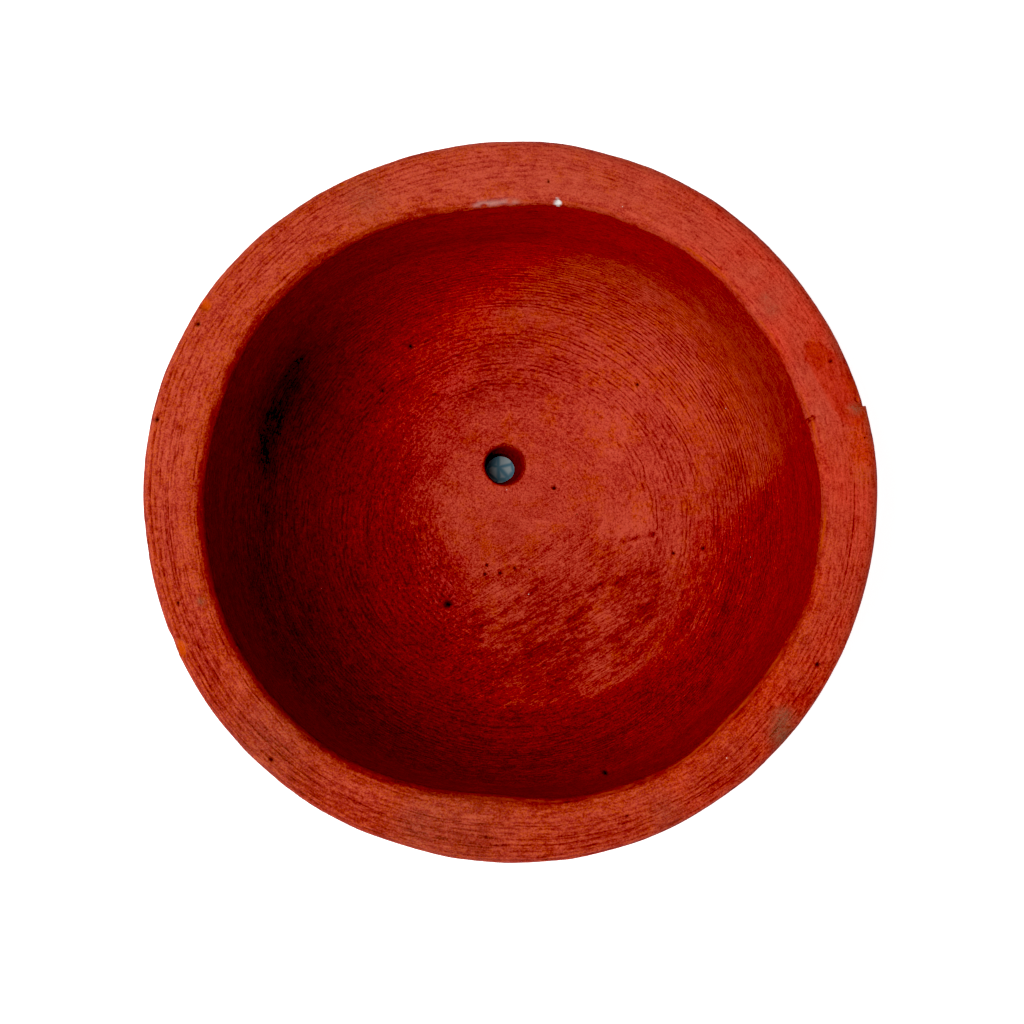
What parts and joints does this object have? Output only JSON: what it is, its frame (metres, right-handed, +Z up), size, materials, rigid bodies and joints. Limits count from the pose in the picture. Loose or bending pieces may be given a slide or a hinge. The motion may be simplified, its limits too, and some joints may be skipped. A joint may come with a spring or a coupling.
{
  "type": "terracotta plant pot",
  "caption": "Shallow hand-thrown clay bowl pot with a broad flat rim, ringed inside by throwing grooves, and an off-centre drain hole in the floor.",
  "frame": {"origin": "middle of the underside, on the surface the pot stands on", "axes": "+Z up through the mouth; +Y towards the side that the drain hole lies nearer to"},
  "size_m": [0.21, 0.21, 0.11],
  "materials": {
    "clay_body": "unglazed, red-ochre washed, matt",
    "clay_rim": "unglazed, red-ochre washed, dusty matt"
  },
  "bodies": {
    "root": {"bowl_body": "clay_body", "rim_collar": "clay_rim"}
  },
  "joints": []
}
